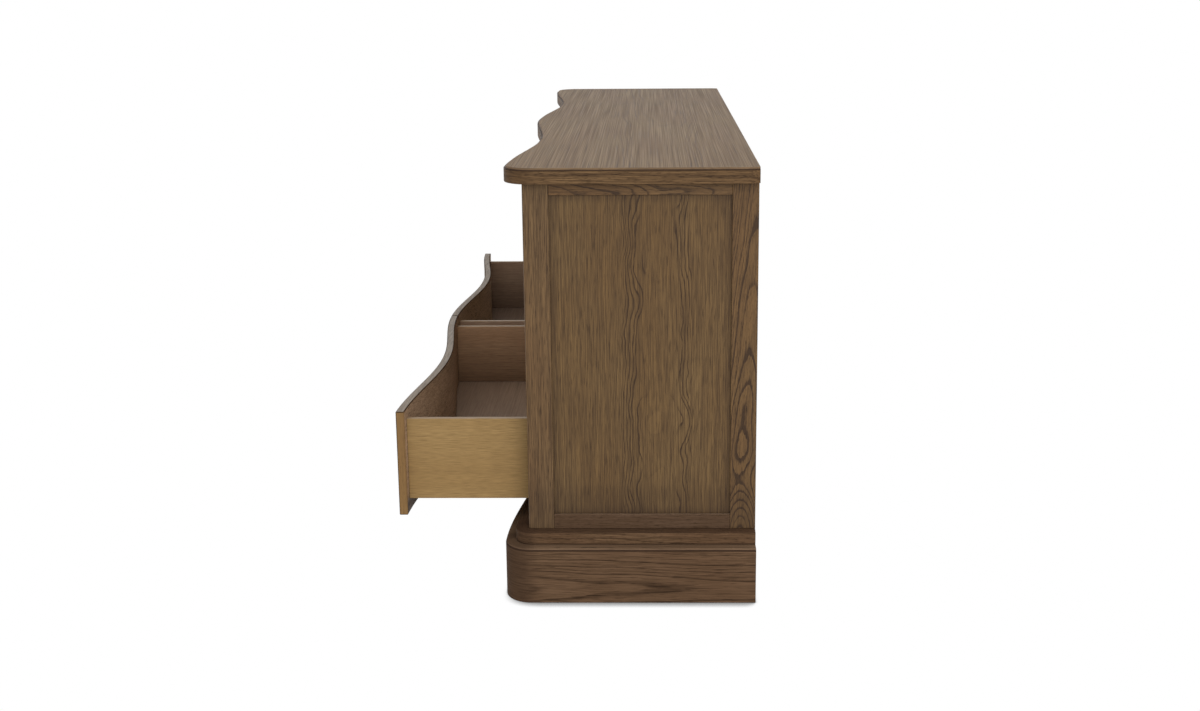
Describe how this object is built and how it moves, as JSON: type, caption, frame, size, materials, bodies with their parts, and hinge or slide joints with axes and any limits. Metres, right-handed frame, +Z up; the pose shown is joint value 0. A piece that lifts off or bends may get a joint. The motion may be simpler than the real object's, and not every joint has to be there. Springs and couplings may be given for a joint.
{
  "type": "dresser",
  "caption": "Long serpentine-front oak dresser on a moulded plinth: rows of wide drawers with bar pulls slide out of a framed case under a thick shaped top.",
  "frame": {"origin": "underside of the centre foot, on the floor under the middle of the carcase", "axes": "+X along the length towards the dresser's right end as seen from its front, +Y towards the back, +Z up; the drawers open along -Y"},
  "size_m": [1.841, 0.7536, 0.914],
  "materials": {
    "stained_oak_top": "grey-brown stained oak, satin lacquer",
    "stained_oak": "dark brown stained oak, satin lacquer",
    "drawer_wood": "tan drawer stock, matt lacquer",
    "back_plywood": "stained plywood, matt",
    "aged_bronze": "aged bronze, brushed"
  },
  "bodies": {
    "case": {"top_panel": "stained_oak_top", "left_front_post": "stained_oak", "right_front_post": "stained_oak", "left_back_post": "stained_oak", "right_back_post": "stained_oak", "left_side_top_rail": "stained_oak", "right_side_top_rail": "stained_oak", "left_side_bottom_rail": "stained_oak", "right_side_bottom_rail": "stained_oak", "left_side_panel": "stained_oak", "right_side_panel": "stained_oak", "front_top_rail": "stained_oak", "lower_web_frame": "drawer_wood", "middle_web_frame": "drawer_wood", "upper_web_frame": "drawer_wood", "centre_partition": "drawer_wood", "back_panel": "back_plywood", "base_moulding": "stained_oak", "plinth_front": "stained_oak", "plinth_left": "stained_oak", "plinth_right": "stained_oak", "plinth_back": "stained_oak", "centre_foot": "drawer_wood"},
    "lower_left_drawer": {"lower_left_drawer_front": "stained_oak", "lower_left_drawer_left_side": "drawer_wood", "lower_left_drawer_right_side": "drawer_wood", "lower_left_drawer_back": "drawer_wood", "lower_left_drawer_bottom": "drawer_wood", "lower_left_drawer_pull": "aged_bronze"},
    "lower_right_drawer": {"lower_right_drawer_front": "stained_oak", "lower_right_drawer_left_side": "drawer_wood", "lower_right_drawer_right_side": "drawer_wood", "lower_right_drawer_back": "drawer_wood", "lower_right_drawer_bottom": "drawer_wood", "lower_right_drawer_pull": "aged_bronze"},
    "middle_left_drawer": {"middle_left_drawer_front": "stained_oak", "middle_left_drawer_left_side": "drawer_wood", "middle_left_drawer_right_side": "drawer_wood", "middle_left_drawer_back": "drawer_wood", "middle_left_drawer_bottom": "drawer_wood", "middle_left_drawer_pull": "aged_bronze"},
    "middle_right_drawer": {"middle_right_drawer_front": "stained_oak", "middle_right_drawer_left_side": "drawer_wood", "middle_right_drawer_right_side": "drawer_wood", "middle_right_drawer_back": "drawer_wood", "middle_right_drawer_bottom": "drawer_wood", "middle_right_drawer_pull": "aged_bronze"},
    "upper_left_drawer": {"upper_left_drawer_front": "stained_oak", "upper_left_drawer_left_side": "drawer_wood", "upper_left_drawer_right_side": "drawer_wood", "upper_left_drawer_back": "drawer_wood", "upper_left_drawer_bottom": "drawer_wood", "upper_left_drawer_pull": "aged_bronze"},
    "upper_right_drawer": {"upper_right_drawer_front": "stained_oak", "upper_right_drawer_left_side": "drawer_wood", "upper_right_drawer_right_side": "drawer_wood", "upper_right_drawer_back": "drawer_wood", "upper_right_drawer_bottom": "drawer_wood", "upper_right_drawer_pull": "aged_bronze"}
  },
  "joints": [
    {"name": "lower_left_drawer_slide", "type": "slide", "parent": "case", "child": "lower_left_drawer", "axis": [0, -1, 0], "range_m": [-0.281, 0.049]},
    {"name": "lower_right_drawer_slide", "type": "slide", "parent": "case", "child": "lower_right_drawer", "axis": [0, -1, 0], "range_m": [-0.281, 0.049]},
    {"name": "middle_left_drawer_slide", "type": "slide", "parent": "case", "child": "middle_left_drawer", "axis": [0, -1, 0], "range_m": [0, 0.33]},
    {"name": "middle_right_drawer_slide", "type": "slide", "parent": "case", "child": "middle_right_drawer", "axis": [0, -1, 0], "range_m": [0, 0.33]},
    {"name": "upper_left_drawer_slide", "type": "slide", "parent": "case", "child": "upper_left_drawer", "axis": [0, -1, 0], "range_m": [0, 0.33]},
    {"name": "upper_right_drawer_slide", "type": "slide", "parent": "case", "child": "upper_right_drawer", "axis": [0, -1, 0], "range_m": [0, 0.33]}
  ]
}
